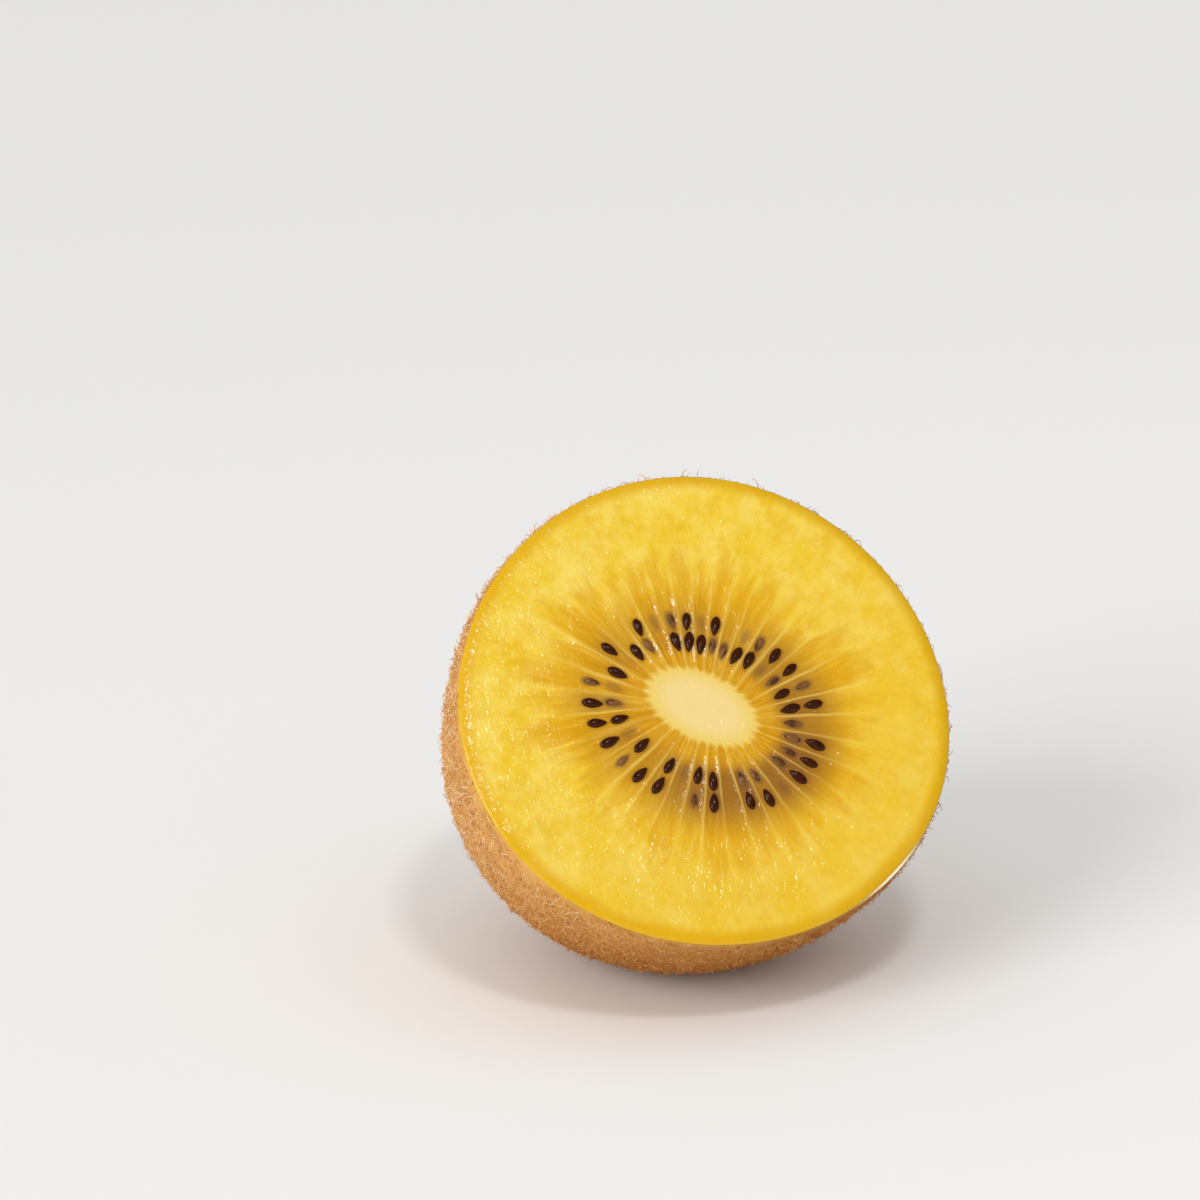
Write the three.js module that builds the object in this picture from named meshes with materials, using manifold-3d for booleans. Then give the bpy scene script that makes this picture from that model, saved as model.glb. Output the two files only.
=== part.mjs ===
// Golden kiwi fruit, cut in half across its width and lying on its skin.
// Millimetres, +Z up. The origin is the middle of the small flat spot that the half rests on.
// The cut face looks towards -Y and up, and the stem end points back and down.
import * as THREE from 'three';
import { mergeVertices } from 'three/addons/utils/BufferGeometryUtils.js';
import Module from 'manifold-3d';

const wasm = await Module();
wasm.setup();
const radians = THREE.MathUtils.degToRad;

// The half as it lies
const LEAN = radians(40); // the cut face leans back this far from upright
const PRESSED = 0.9; // its own weight flattens the lowest spot by this much

// The body: a barrel, a little fuller than an ellipsoid
const LENGTH = 36; // from the cut to the stem end
const HALF_WIDTH = 26.5; // mean half width of the skin at the cut
const FULLNESS = 2.2; // 2 would be an ellipsoid
const OVAL = 0.0143; // share by which it is wider one way and narrower the other
const OVAL_TURN = radians(15.6); // where on the cut face it is widest
const LOBE = 0.008; // share by which it is faintly three-sided
const LOBE_TURN = radians(83);
const SKIN = 0.7; // thickness of the peel
const CLEAR = 0.3; // gap between pieces that touch
const RIM_WIDTH = 1.8; // the cut flesh rounds off over this width beside the skin
const RIM_DROP = 0.45; // and the skin ends this far below the cut

// The stem end: a fuzzy collar round a pit, with the woody scar of the stalk in it
const COLLAR_RADIUS = 7;
const COLLAR_HEIGHT = 0.7;
const PIT_RADIUS = 4.6;
const PIT_DEPTH = 2.2;
const SCAR_LOBES = 5;

// The core: a pale oval column that narrows towards the stem end
const CORE_LONG = 6.6; // half its length on the cut face
const CORE_SHORT = 4;
const CORE_DEPTH = 27;
const CORE_TIP = 0.45; // size at its lower end, as a share of the top
const CORE_TURN = radians(-33.3);
const CORE_U = -0.4; // where its middle is on the cut face, to the right and up the face
const CORE_V = 0.2;

// The seeds: two rows in the seed chambers, which crowd round the core as spokes of an oval wheel
const SEED_LENGTH = 2.3;
const SEED_WIDTH = 1.2;
const SEED_THICKNESS = 0.9;
const SEED_TAPER = 0.28; // they narrow towards the core
const RING_LONG = 11.2; // half size of the oval between the two rows
const RING_SHORT = 8.6;
const RING_TURN = radians(-26.7);
const RING_START = radians(21.4);
const RING_U = -0.3;
const RING_V = -0.4;
const ROW_SPACING = 2.4;
const CROWDING = [
  { turns: 1, share: radians(5.5), from: radians(-88.6) },
  { turns: 2, share: radians(6.3), from: radians(10) },
];
const SEED_SCATTER = 0.14;
const SEED_TWIST = radians(7);
// One letter for each seed chamber: P stands proud of the cut, S is skimmed by it,
// D is deep in the flesh and not seen here, and a dot is an empty place.
const INNER_ROW = 'PPSDPPSSPPP.SP.PDSPDP.PDPP.SS.SSSS';
const OUTER_ROW = 'PSPPSD.PDPSDP.P.SPPPSPP.SP.PPDPPP.';
const PROUD = { P: -0.05, S: -0.26 }; // height of a seed's middle above the cut face

// How finely round things are faceted
const BODY_SIDES = 54;
const BODY_STEPS = 15;
const SMALL_SIDES = 30;

const COLOURS = {
  skin: { color: 0xa8743a, roughness: 0.75 },
  flesh: { color: 0xf0c527, roughness: 0.35 },
  core: { color: 0xf3dd92, roughness: 0.45 },
  stem_scar: { color: 0x6b4a2c, roughness: 0.9 },
};

// A repeatable scatter between -1 and 1
function scatter(number) {
  const wave = Math.sin(number * 12.9898 + 4.137) * 43758.5453;
  return 2 * (wave - Math.floor(wave)) - 1;
}

// Merges the shared corners of a geometry and drops the triangles that collapse at its poles
function closed(geometry) {
  geometry.deleteAttribute('normal');
  geometry.deleteAttribute('uv');
  const merged = mergeVertices(geometry, 1e-4);
  const corners = [];
  const index = merged.index.array;
  for (let i = 0; i < index.length; i += 3) {
    const [a, b, c] = index.slice(i, i + 3);
    if (a !== b && b !== c && a !== c) corners.push(a, b, c);
  }
  merged.setIndex(corners);
  return merged;
}

function toSolid(geometry) {
  return new wasm.Manifold(
    new wasm.Mesh({
      numProp: 3,
      vertProperties: new Float32Array(geometry.attributes.position.array),
      triVerts: new Uint32Array(geometry.index.array),
    }),
  );
}

function toGeometry(solid) {
  const mesh = solid.getMesh();
  const geometry = new THREE.BufferGeometry();
  geometry.setAttribute('position', new THREE.BufferAttribute(mesh.vertProperties, 3));
  geometry.setIndex(new THREE.BufferAttribute(mesh.triVerts, 1));
  return geometry;
}

// Moves every corner of a geometry by a function
function reshape(geometry, move) {
  const position = geometry.attributes.position;
  const point = new THREE.Vector3();
  for (let i = 0; i < position.count; i++) {
    move(point.fromBufferAttribute(position, i));
    position.setXYZ(i, point.x, point.y, point.z);
  }
  return geometry;
}

// Makes a round section oval and faintly three-sided, as the fruit is
function grow(point) {
  const turn = Math.atan2(-point.z, point.x);
  const share = 1 + OVAL * Math.cos(2 * (turn - OVAL_TURN)) + LOBE * Math.cos(3 * (turn - LOBE_TURN));
  point.x *= share;
  point.z *= share;
  return point;
}

// The fruit's side as (radius, height) points from the cut down to the stem end.
// The fruit's axis is Y with the cut face at 0. Inset points lie that far inside the skin.
function side(inset) {
  const points = [];
  for (let i = 0; i <= BODY_STEPS; i++) {
    const angle = (i / BODY_STEPS) * (Math.PI / 2);
    const across = Math.pow(Math.cos(angle), 2 / FULLNESS);
    const down = Math.pow(Math.sin(angle), 2 / FULLNESS);
    const normal = new THREE.Vector2(
      Math.pow(across, FULLNESS - 1) / HALF_WIDTH,
      -Math.pow(down, FULLNESS - 1) / LENGTH,
    ).normalize();
    const point = new THREE.Vector2(HALF_WIDTH * across, -LENGTH * down);
    points.push(point.addScaledVector(normal, -inset));
  }
  return points;
}

// The height of the bare barrel at a radius
function barrel(radius) {
  return -LENGTH * Math.pow(1 - Math.pow(radius / HALF_WIDTH, FULLNESS), 1 / FULLNESS);
}

// The side with its stem end cut off flat inside the pit's floor
function insideSide(inset) {
  const deepest = -(LENGTH - PIT_DEPTH - inset);
  const points = side(inset).filter((point) => point.y > deepest);
  const reach = points.at(-1).x - (points.at(-2).x - points.at(-1).x) * 0.5;
  points.push(new THREE.Vector2(reach, deepest), new THREE.Vector2(0, deepest));
  return points;
}

// A closed outline turned round the fruit's axis, given from the cut down along the outside
function turned(outline, sides) {
  const geometry = new THREE.LatheGeometry([...outline].reverse(), sides);
  return closed(geometry);
}

// The way up, seen from the fruit, and the height of the floor below its cut face
const up = new THREE.Vector3(0, Math.sin(LEAN), -Math.cos(LEAN));
const touch = lowestSpot();
const floor = touch.dot(up) + PRESSED;

function lowestSpot() {
  const lowest = new THREE.Vector3();
  const spot = new THREE.Vector3();
  for (let radius = 0; radius < HALF_WIDTH; radius += 0.02) {
    for (let turn = -0.2; turn <= 0.2; turn += 0.01) {
      spot.set(radius * Math.sin(turn), barrel(radius), radius * Math.cos(turn));
      grow(spot);
      if (spot.dot(up) < lowest.dot(up)) lowest.copy(spot);
    }
  }
  return lowest;
}

// Flattens what would lie lower than the floor, or than a plane above it
function pressed(geometry, above) {
  return reshape(geometry, (point) => {
    const missing = floor + above - point.dot(up);
    if (missing > 0) point.addScaledVector(up, missing);
  });
}

// The peel: a thin cup with a fuzzy collar and a pit at the stem end
function makeSkin() {
  const outside = side(0).filter((point) => point.x > COLLAR_RADIUS);
  const collarSteps = 5;
  for (let i = 0; i <= collarSteps; i++) {
    const share = i / collarSteps;
    const radius = THREE.MathUtils.lerp(COLLAR_RADIUS, PIT_RADIUS + 0.3, share);
    const swell = COLLAR_HEIGHT * Math.sin(share * Math.PI * 0.75) ** 2;
    outside.push(new THREE.Vector2(radius, barrel(radius) - swell));
  }
  const pitFloor = -(LENGTH - PIT_DEPTH);
  outside.push(new THREE.Vector2(PIT_RADIUS, -(LENGTH - 0.2)));
  outside.push(new THREE.Vector2(PIT_RADIUS - 0.2, pitFloor));
  outside.push(new THREE.Vector2(0, pitFloor));
  const inside = insideSide(SKIN).reverse();
  inside.at(-1).y = -RIM_DROP;
  outside[0].y = -RIM_DROP;
  const outline = [...inside, ...outside];
  return pressed(reshape(turned(outline, BODY_SIDES), grow), 0);
}

// The golden flesh: it fills the peel, and the core and the seeds sit in it
function makeFlesh() {
  const inset = SKIN + CLEAR;
  const body = insideSide(inset);
  const edge = body.shift().x;
  const rim = [1, 0.65, 0.3, 0].map(
    (share) => new THREE.Vector2(edge - RIM_WIDTH * share, -RIM_DROP * (1 - share) ** 2),
  );
  const outline = [new THREE.Vector2(0, 0), ...rim, ...body];
  const shape = pressed(reshape(turned(outline, BODY_SIDES), grow), inset);
  let flesh = toSolid(shape).subtract(toSolid(coreShape(CLEAR)));
  for (const seed of seedShapes()) flesh = flesh.add(toSolid(seed));
  return toGeometry(flesh);
}

// The core, or with a margin the place that the flesh leaves for it
function coreShape(margin) {
  const shares = [1, 0.97, 0.9, 0.78, 0.62, CORE_TIP];
  const points = shares.map((share, i) => {
    const depth = (CORE_DEPTH * i) / (shares.length - 1);
    return new THREE.Vector2(share, -depth);
  });
  const top = margin > 0 ? 1 : 0;
  points[0].y += top;
  points.at(-1).y -= margin;
  const outline = [new THREE.Vector2(0, top), ...points, new THREE.Vector2(0, -CORE_DEPTH - margin)];
  const geometry = turned(outline, SMALL_SIDES);
  reshape(geometry, (point) => {
    point.x *= CORE_LONG + margin;
    point.z *= CORE_SHORT + margin;
  });
  geometry.rotateY(CORE_TURN);
  geometry.translate(CORE_U, 0, -CORE_V);
  return geometry;
}

// Where a seed chamber crosses the cut face at a distance outside the middle of the ring.
// The result is (u, v), to the right and up the face.
function chamber(number, outwards) {
  const even = RING_START + (number / INNER_ROW.length) * 2 * Math.PI;
  const turn = CROWDING.reduce(
    (sum, { turns, share, from }) => sum + share * Math.sin(turns * (even - from)),
    even,
  );
  const along = (RING_LONG + outwards) * Math.cos(turn);
  const across = (RING_SHORT + outwards) * Math.sin(turn);
  const place = new THREE.Vector2(along, across).rotateAround(new THREE.Vector2(), RING_TURN);
  return place.add(new THREE.Vector2(RING_U, RING_V));
}

// One seed of about true size, with its narrow end towards the core
function seedShape(row, number, letter) {
  const outwards = (row === 0 ? -0.5 : 0.5) * ROW_SPACING;
  const draw = 3 * (row * INNER_ROW.length + number);
  const place = chamber(number, outwards + SEED_SCATTER * scatter(draw));
  const inner = chamber(number, outwards - ROW_SPACING);
  const heading = Math.atan2(place.y - inner.y, place.x - inner.x) + SEED_TWIST * scatter(draw + 1);
  const size = 1 + 0.07 * scatter(draw + 2);
  const geometry = closed(new THREE.SphereGeometry(0.5, 8, 6));
  reshape(geometry, (point) => {
    const narrow = 1 + SEED_TAPER * 2 * point.x;
    point.x *= SEED_LENGTH * size;
    point.y *= SEED_THICKNESS;
    point.z *= SEED_WIDTH * size * narrow;
  });
  geometry.rotateY(heading);
  geometry.translate(place.x, PROUD[letter], -place.y);
  return geometry;
}

function seedShapes() {
  const seeds = [];
  [INNER_ROW, OUTER_ROW].forEach((letters, row) => {
    [...letters].forEach((letter, number) => {
      if (letter in PROUD) seeds.push(seedShape(row, number, letter));
    });
  });
  return seeds;
}

// The scar of the stalk: a woody disc with a worn rim, a hollow and a small peg
function makeStemScar() {
  const radius = PIT_RADIUS - 0.2 - CLEAR;
  const bottom = -(LENGTH - PIT_DEPTH + CLEAR);
  const top = -(LENGTH - 0.1);
  const outline = [
    new THREE.Vector2(0, bottom),
    new THREE.Vector2(radius - 0.1, bottom),
    new THREE.Vector2(radius, top + 0.7),
    new THREE.Vector2(radius * 0.94, top + 0.1),
    new THREE.Vector2(radius * 0.8, top - 0.1),
    new THREE.Vector2(radius * 0.6, top + 0.25),
    new THREE.Vector2(radius * 0.42, top + 0.2),
    new THREE.Vector2(radius * 0.34, top + 0.9),
    new THREE.Vector2(radius * 0.16, top + 1),
    new THREE.Vector2(radius * 0.13, top + 0.4),
    new THREE.Vector2(0, top + 0.3),
  ];
  return reshape(turned(outline, SMALL_SIDES), (point) => {
    const turn = Math.atan2(point.z, point.x);
    const share = Math.hypot(point.x, point.z) / radius;
    const worn = 0.15 * share * share * Math.cos(SCAR_LOBES * turn);
    if (point.y < top + 0.6) point.y += worn;
    grow(point);
  });
}

const fruit = new THREE.Group();
const pieces = {
  skin: makeSkin(),
  flesh: makeFlesh(),
  core: coreShape(0),
  stem_scar: makeStemScar(),
};
for (const [name, geometry] of Object.entries(pieces)) {
  const mesh = new THREE.Mesh(geometry, new THREE.MeshStandardMaterial(COLOURS[name]));
  mesh.name = name;
  fruit.add(mesh);
}

// Leans the fruit back and stands the middle of its flat spot on the origin
fruit.rotation.x = Math.PI - LEAN;
const footing = touch.clone().addScaledVector(up, PRESSED);
fruit.position.copy(footing.applyEuler(fruit.rotation).negate());

const model = new THREE.Group();
model.add(fruit);
export default model;
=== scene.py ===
# %% [markdown]
# # Half a golden kiwi fruit
# The fruit has been cut across and lies on its skin, with the cut face looking up at the viewer.
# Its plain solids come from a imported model, which holds every size and place. This lesson gives
# them the look of the real fruit: wet golden flesh with pale spokes, two rows of dark seeds, a thin
# brown peel with short curled hairs, and the dry scar where the stalk was.
#
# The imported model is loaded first, because every piece is built around it.

# %% Load the plain model
import math

import bpy
import numpy as np
from mathutils import Matrix, Vector, noise


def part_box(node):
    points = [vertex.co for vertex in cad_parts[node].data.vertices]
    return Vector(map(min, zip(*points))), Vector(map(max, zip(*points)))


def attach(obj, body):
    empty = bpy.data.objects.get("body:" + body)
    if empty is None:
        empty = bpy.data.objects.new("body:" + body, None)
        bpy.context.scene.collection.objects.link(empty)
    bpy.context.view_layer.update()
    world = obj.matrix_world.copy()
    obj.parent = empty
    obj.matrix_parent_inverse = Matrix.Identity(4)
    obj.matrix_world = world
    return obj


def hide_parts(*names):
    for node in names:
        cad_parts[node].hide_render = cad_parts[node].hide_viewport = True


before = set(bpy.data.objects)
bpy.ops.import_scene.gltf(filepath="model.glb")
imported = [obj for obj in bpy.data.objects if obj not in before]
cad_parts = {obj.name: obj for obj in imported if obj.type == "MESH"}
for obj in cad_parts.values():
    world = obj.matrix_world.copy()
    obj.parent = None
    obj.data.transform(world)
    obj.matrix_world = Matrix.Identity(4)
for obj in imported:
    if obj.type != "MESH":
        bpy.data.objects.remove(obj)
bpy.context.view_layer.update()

print("solids:", sorted(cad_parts))

# %% [markdown]
# ## The shape of the fruit
# A kiwi fruit is a barrel, a little fuller than an ellipsoid, slightly oval and faintly
# three-sided across. One formula could be traced by hand as a curve, but the peel, the flesh and
# the hairs all have to follow it, so it is written once here and every piece asks it for points.
# Places are given as distances to the right, up and out of the middle of the cut face.

# %% Directions on the cut face
MM = 0.001
LEAN = math.radians(40)  # the cut face leans back this far from upright
RIGHT = np.array([1.0, 0.0, 0.0])
UPWARD = np.array([0.0, math.sin(LEAN), math.cos(LEAN)])
OUTWARD = np.array([0.0, -math.cos(LEAN), math.sin(LEAN)])

# %% The barrel
LENGTH = 36 * MM  # from the cut to the stem end
HALF_WIDTH = 26.5 * MM
FULLNESS = 2.2
OVAL, OVAL_TURN = 0.0143, math.radians(15.6)
LOBE, LOBE_TURN = 0.008, math.radians(83)


def spread(turn):
    """How much wider than a round barrel the fruit is at a turn round its axis."""
    return 1 + OVAL * np.cos(2 * (turn - OVAL_TURN)) + LOBE * np.cos(3 * (turn - LOBE_TURN))


def around(radius, turn):
    """Distances right and up of points at a turn round the fruit's axis."""
    wide = radius * spread(turn)
    return wide * np.cos(turn), wide * np.sin(turn)


def depth_at(radius):
    """How far below the cut the barrel's skin is at a radius."""
    share = np.clip(radius / HALF_WIDTH, 0, 1)
    return LENGTH * (1 - share**FULLNESS) ** (1 / FULLNESS)


# %% The middle of the cut face, from where the fruit touches the floor
PRESSED = 0.9 * MM  # its weight flattens the lowest spot by this much


def find_middle():
    """Looks for the lowest point of the leaning barrel and puts it a little below the floor."""
    low_turns = math.radians(-90) + np.linspace(-0.2, 0.2, 41)
    radius, turn = np.meshgrid(np.linspace(0, HALF_WIDTH, 1326), low_turns)
    right, up = around(radius, turn)
    out = -depth_at(radius)
    height = up * UPWARD[2] + out * OUTWARD[2]
    lowest = height.argmin()
    touch = right.flat[lowest] * RIGHT + up.flat[lowest] * UPWARD + out.flat[lowest] * OUTWARD
    return -touch - np.array([0, 0, PRESSED])


MIDDLE = find_middle()


def place(right, up, out):
    """Points of the model from distances right, up and out of the middle of the cut face."""
    steps = ((right, RIGHT), (up, UPWARD), (out, OUTWARD))
    return MIDDLE + sum(np.multiply.outer(far, direction) for far, direction in steps)


core_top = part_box("core")[1].z
print("middle of the cut, mm:", (MIDDLE / MM).round(2), "core solid's top, mm:", round(core_top / MM, 2))

# %% [markdown]
# ## Helpers for node trees
# Finishes and growing pieces are both made of nodes. They could be wired by hand in the node
# editor, but a script can be read, repeated and changed. These few helpers keep it short: one adds
# a node, and the others name the steps that come back all the time. The tree that is being made
# is always called tree, and the steps are added to it.

# %% Adding and joining nodes


def connect(tree, node, inputs):
    """Gives a node its inputs, by name or number, as values or as other nodes' outputs."""
    for key, value in inputs.items():
        if isinstance(value, bpy.types.NodeSocket):
            tree.links.new(value, node.inputs[key])
        else:
            node.inputs[key].default_value = value


def add(tree, kind, inputs=None, **settings):
    """Adds a node with its inputs and settings."""
    made = tree.nodes.new(kind)
    for name, value in settings.items():
        setattr(made, name, value)
    connect(tree, made, inputs or {})
    return made


# %% Arithmetic with nodes
def calc(operation, *values):
    """The result of one step of arithmetic."""
    return add(tree, "ShaderNodeMath", dict(enumerate(values)), operation=operation).outputs[0]


def times(product, *others):
    """Two or more values multiplied."""
    for other in others:
        product = calc("MULTIPLY", product, other)
    return product


def line(value, slope, start):
    """The value times a slope, plus a start."""
    return calc("MULTIPLY_ADD", value, slope, start)


def rise(value, low, high):
    """0 below the low value, 1 above the high one, smooth between. It falls where low is higher."""
    inputs = {"Value": value, "From Min": min(low, high), "From Max": max(low, high)}
    inputs |= {"To Min": float(low > high), "To Max": float(low <= high)}
    return add(tree, "ShaderNodeMapRange", inputs, interpolation_type="SMOOTHSTEP").outputs[0]


# %% Vectors and noise
def split(vector):
    """The three parts of a vector."""
    return add(tree, "ShaderNodeSeparateXYZ", {0: vector}).outputs


def join(*parts):
    """A vector from its three parts."""
    return add(tree, "ShaderNodeCombineXYZ", dict(enumerate(parts))).outputs[0]


def vector_calc(operation, first, second):
    """The results of one step of arithmetic with vectors."""
    return add(tree, "ShaderNodeVectorMath", {0: first, 1: second}, operation=operation).outputs


def soft_noise(where, scale, detail=2.0, roughness=0.5):
    """Soft noise between 0 and 1."""
    inputs = {"Vector": where, "Scale": scale, "Detail": detail, "Roughness": roughness}
    return add(tree, "ShaderNodeTexNoise", inputs).outputs["Fac"]


# %% Colours and finishes
def colour(red, green, blue):
    """A colour given as the eye sees it, from 0 to 255, as Blender's own linear one."""
    parts = [part / 255 for part in (red, green, blue)]
    linear = [part / 12.92 if part < 0.04045 else ((part + 0.055) / 1.055) ** 2.4 for part in parts]
    return (*linear, 1.0)


def blend(share, first, second):
    """Blends two colours."""
    inputs = {0: share, 6: first, 7: second}
    return add(tree, "ShaderNodeMix", inputs, data_type="RGBA", clamp_factor=True).outputs[2]


def tint(base, share, most, added):
    """Mixes a colour into a base, by a share of the most that there may be of it."""
    return blend(times(share, most), base, added)


def mark(name, output="Fac"):
    """A value that a mesh carries for its finish to read."""
    return add(tree, "ShaderNodeAttribute", attribute_name=name).outputs[output]


def bump(height, strength, distance):
    """Fine relief from a height."""
    inputs = {"Height": height, "Strength": strength, "Distance": distance}
    return add(tree, "ShaderNodeBump", inputs).outputs[0]


def new_finish(name):
    """A material, its tree and its main shader."""
    material = bpy.data.materials.new(name)
    material.use_nodes = True
    return material, material.node_tree, material.node_tree.nodes["Principled BSDF"]


def new_piece(name, points, faces=()):
    """A mesh object in the scene."""
    mesh = bpy.data.meshes.new(name)
    mesh.from_pydata(points, [], faces)
    piece = bpy.data.objects.new(name, mesh)
    bpy.context.scene.collection.objects.link(piece)
    return piece


# %% [markdown]
# ## The camera and the light
# The camera stands a little to the left and looks slightly down, from 65 cm away through a long
# lens, so the round cut face shows nearly full. It could be moved by hand until the picture fits.
# Here its lens and place are worked out from where the middle of the cut face has to show.
#
# The floor is plain and pale. A soft sun from the left gives mild shading, a small lamp above
# makes the glints on the wet flesh and the seeds, and a pale sky fills the shadows. Glossy things
# mirror only a quarter of that sky, because all of it would lay a grey veil over the yellow.

# %% Which way the camera looks
AZIMUTH, ELEVATION = math.radians(-18), math.radians(20)
DISTANCE = 0.65
PICTURE = 1200  # pixels each way
SENSOR = 0.036
PIXELS_PER_METRE = 247.1 / 0.026  # at the cut face
MIDDLE_PIXEL = (706.5, 708.2)  # where the middle of the cut face is in the picture

flat = math.cos(ELEVATION)
view_back = Vector((math.sin(AZIMUTH) * flat, -math.cos(AZIMUTH) * flat, math.sin(ELEVATION)))
view_right = Vector((math.cos(AZIMUTH), math.sin(AZIMUTH), 0))
view_up = view_back.cross(view_right)

# %% The camera
focal_pixels = PIXELS_PER_METRE * DISTANCE
aside, below = ((pixel - PICTURE / 2) / focal_pixels * DISTANCE for pixel in MIDDLE_PIXEL)
camera = bpy.data.objects.new("camera", bpy.data.cameras.new("camera"))
camera.data.sensor_width = SENSOR / MM
camera.data.lens = focal_pixels / PICTURE * SENSOR / MM
camera.data.clip_start = 0.01
turned = Matrix((view_right, view_up, view_back)).transposed().to_4x4()
turned.translation = Vector(MIDDLE) + view_back * DISTANCE - view_right * aside + view_up * below
camera.matrix_world = turned
bpy.context.scene.collection.objects.link(camera)
bpy.context.scene.camera = camera
bpy.context.scene.view_settings.view_transform = "Standard"
print("lens, mm:", round(camera.data.lens, 1))

# %% The floor
FLOOR_HALF = 1.6


def make_floor():
    corners = [(x * FLOOR_HALF, y * FLOOR_HALF, 0) for x, y in ((-1, -1), (1, -1), (1, 1), (-1, 1))]
    floor = new_piece("floor", corners, [(0, 1, 2, 3)])
    material, tree, shader = new_finish("pale floor")
    looks = {"Base Color": (0.93, 0.93, 0.925, 1), "Roughness": 0.85, "Specular IOR Level": 0.1}
    connect(tree, shader, looks)
    floor.data.materials.append(material)


make_floor()

# %% The lamps
LAMP_DISTANCE = 0.8


def add_lamp(name, kind, towards, power):
    """A lamp in the direction given, seen from the fruit, that shines at it."""
    lamp = bpy.data.objects.new(name, bpy.data.lights.new(name, kind))
    lamp.data.energy = power
    back = Vector(towards).normalized()
    lamp.location = Vector(MIDDLE) + back * LAMP_DISTANCE
    lamp.rotation_euler = back.to_track_quat("Z", "Y").to_euler()
    bpy.context.scene.collection.objects.link(lamp)
    return lamp.data


add_lamp("soft sun", "SUN", (-1.0, -0.5, 0.55), 1.4).angle = math.radians(35)
add_lamp("sparkle", "AREA", (-0.04, -0.53, 0.85), 1.15).size = 0.1

# %% The sky
SKY, MIRRORED_SKY = 0.6, 0.15
world = bpy.data.worlds.new("pale sky")
world.use_nodes = True
tree = world.node_tree
mirrored = add(tree, "ShaderNodeLightPath").outputs["Is Glossy Ray"]
sky = {"Color": (1.0, 0.99, 0.97, 1), "Strength": line(mirrored, MIRRORED_SKY - SKY, SKY)}
connect(tree, tree.nodes["Background"], sky)
bpy.context.scene.world = world
print("lamps:", sorted(light.name for light in bpy.data.lights))

# %% [markdown]
# ## The wheel of spokes
# The seeds lie in 34 narrow chambers that stand round the core like the gaps between the spokes
# of a wheel, and pale walls part them. The wheel is oval and crowds together at its ends. The
# chambers could be drawn one by one, but a rule keeps seeds, walls and relief in step: one function
# gives the point that lies a distance past the core's edge at any turn of the wheel.

# %% Sizes of the wheel
CHAMBERS = 34
CORE_LONG, CORE_SHORT = 6.6 * MM, 4.0 * MM
CORE_TURN = math.radians(-33.3)
CORE_MIDDLE = np.array([-0.4, 0.2]) * MM
RING_LONG, RING_SHORT = 11.2 * MM, 8.6 * MM  # the two rows of seeds lie either side of this oval
RING_PAST = 4.6 * MM  # and this counts as its distance past the core's edge
RING_TURN = math.radians(-26.7)
RING_MIDDLE = np.array([-0.3, -0.4]) * MM
RING_START = math.radians(21.4)
CROWDING = [(1, math.radians(5.5), math.radians(-88.6)), (2, math.radians(6.3), math.radians(10))]


# %% The rule of the wheel
def wheel_turn(chamber):
    """The turn of the oval wheel at a chamber's number, which may lie between two chambers."""
    even = RING_START + np.asarray(chamber) / CHAMBERS * math.tau
    return even + sum(most * np.sin(fold * (even - start)) for fold, most, start in CROWDING)


def rotated(right, up, turn):
    return right * np.cos(turn) - up * np.sin(turn), right * np.sin(turn) + up * np.cos(turn)


def from_core_to_ring(turn):
    """How far the core's edge is from the ring, along the spoke at a turn."""
    start = rotated(RING_LONG * np.cos(turn), RING_SHORT * np.sin(turn), RING_TURN)
    apart = RING_MIDDLE - CORE_MIDDLE
    start = rotated(start[0] + apart[0], start[1] + apart[1], -CORE_TURN)
    ahead = rotated(np.cos(turn), np.sin(turn), RING_TURN - CORE_TURN)
    start_x, start_y = start[0] / CORE_LONG, start[1] / CORE_SHORT
    ahead_x, ahead_y = ahead[0] / CORE_LONG, ahead[1] / CORE_SHORT
    both, steep = start_x * ahead_x + start_y * ahead_y, ahead_x**2 + ahead_y**2
    return (both - np.sqrt(both**2 - steep * (start_x**2 + start_y**2 - 1))) / steep


def spoke(chamber, past):
    """Distances right and up, at a distance past the core's edge along a chamber."""
    turn = wheel_turn(chamber)
    past = np.asarray(past)
    inwards = np.clip(1 - past / RING_PAST, 0, None) * from_core_to_ring(turn)
    out = np.maximum(past - RING_PAST, 0) - inwards
    right, up = rotated((RING_LONG + out) * np.cos(turn), (RING_SHORT + out) * np.sin(turn), RING_TURN)
    return right + RING_MIDDLE[0], up + RING_MIDDLE[1]


# %% The two rows of seeds
SEED_LENGTH, SEED_WIDTH, SEED_THICKNESS = 2.2 * MM, 1.0 * MM, 0.85 * MM
SEED_TAPER = 0.28
ROW_SPACING = 2.4 * MM
# P stands proud of the cut, S is skimmed by it, D shows only as a shadow, and a dot is empty
INNER_ROW = "PPSDPPSSPPP.SP.PDSPDP.PDPP.SS.SSSS"
OUTER_ROW = "PSPPSD.PDPSDP.P.SPPPSPP.SP.PPDPPP."
SEED_HEIGHT = {"P": 0.02 * MM, "S": -0.3 * MM}

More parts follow.
